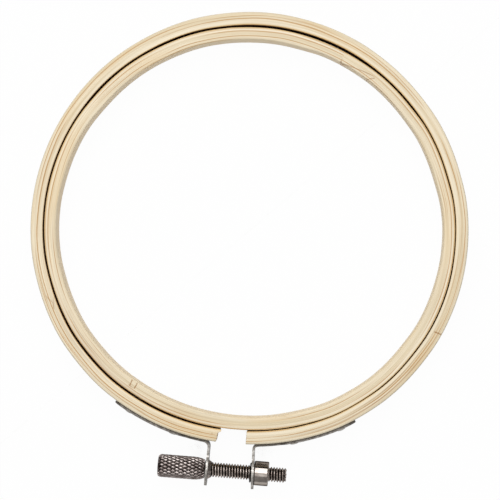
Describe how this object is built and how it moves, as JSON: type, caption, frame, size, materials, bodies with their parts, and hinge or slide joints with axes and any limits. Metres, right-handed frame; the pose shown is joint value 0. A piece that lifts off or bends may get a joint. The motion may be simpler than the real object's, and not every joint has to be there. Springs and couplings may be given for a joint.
{
  "type": "embroidery hoop",
  "caption": "Round bamboo embroidery hoop: cloth is held between an inner ring and a split outer ring, which a knurled thumb screw draws closed.",
  "frame": {"origin": "centre of both hoops at half their height, level with the screw", "axes": "+Z along the hoops' axis, -Y from the centre to the clamp, +X along the screw from the knob to its tip"},
  "size_m": [0.1088, 0.1189, 0.009],
  "materials": {
    "inner_bamboo": "sanded bamboo with fine lengthwise grain",
    "outer_bamboo": "sanded bamboo with fine lengthwise grain",
    "bracket_steel": "bright nickel plate",
    "rivet_steel": "dull nickel plate",
    "knob_steel": "knurled, nickel plate",
    "thread_steel": "rolled thread, dark plate",
    "nut_steel": "turned, nickel plate"
  },
  "bodies": {
    "outer_hoop": {"outer_hoop": "outer_bamboo", "right_bracket": "bracket_steel", "right_rivet_near": "rivet_steel", "right_rivet_far": "rivet_steel", "clamp_nut": "nut_steel"},
    "left_end": {"left_bracket": "bracket_steel", "left_rivet_near": "rivet_steel", "left_rivet_far": "rivet_steel"},
    "thumb_screw": {"thumb_knob": "knob_steel", "screw_stud": "thread_steel", "retaining_collar": "thread_steel"},
    "inner_hoop": {"inner_hoop": "inner_bamboo"}
  },
  "joints": [
    {"name": "left_end_draw", "type": "slide", "parent": "outer_hoop", "child": "left_end", "axis": [1, 0, 0], "range_m": [-0.0042, 0.0007], "deforming": ["outer_hoop"]},
    {"name": "thumb_screw_turn", "type": "hinge", "parent": "left_end", "child": "thumb_screw", "pos_m": [0, -0.0604, 0], "axis": [1, 0, 0], "range_deg": [-2160, 360]},
    {"name": "inner_hoop_lift", "type": "slide", "parent": "outer_hoop", "child": "inner_hoop", "axis": [0, 0, 1], "range_m": [0, 0.012]}
  ],
  "couplings": [
    {"joint": "thumb_screw_turn", "follows": "left_end_draw", "rad_per_m": 8976}
  ]
}
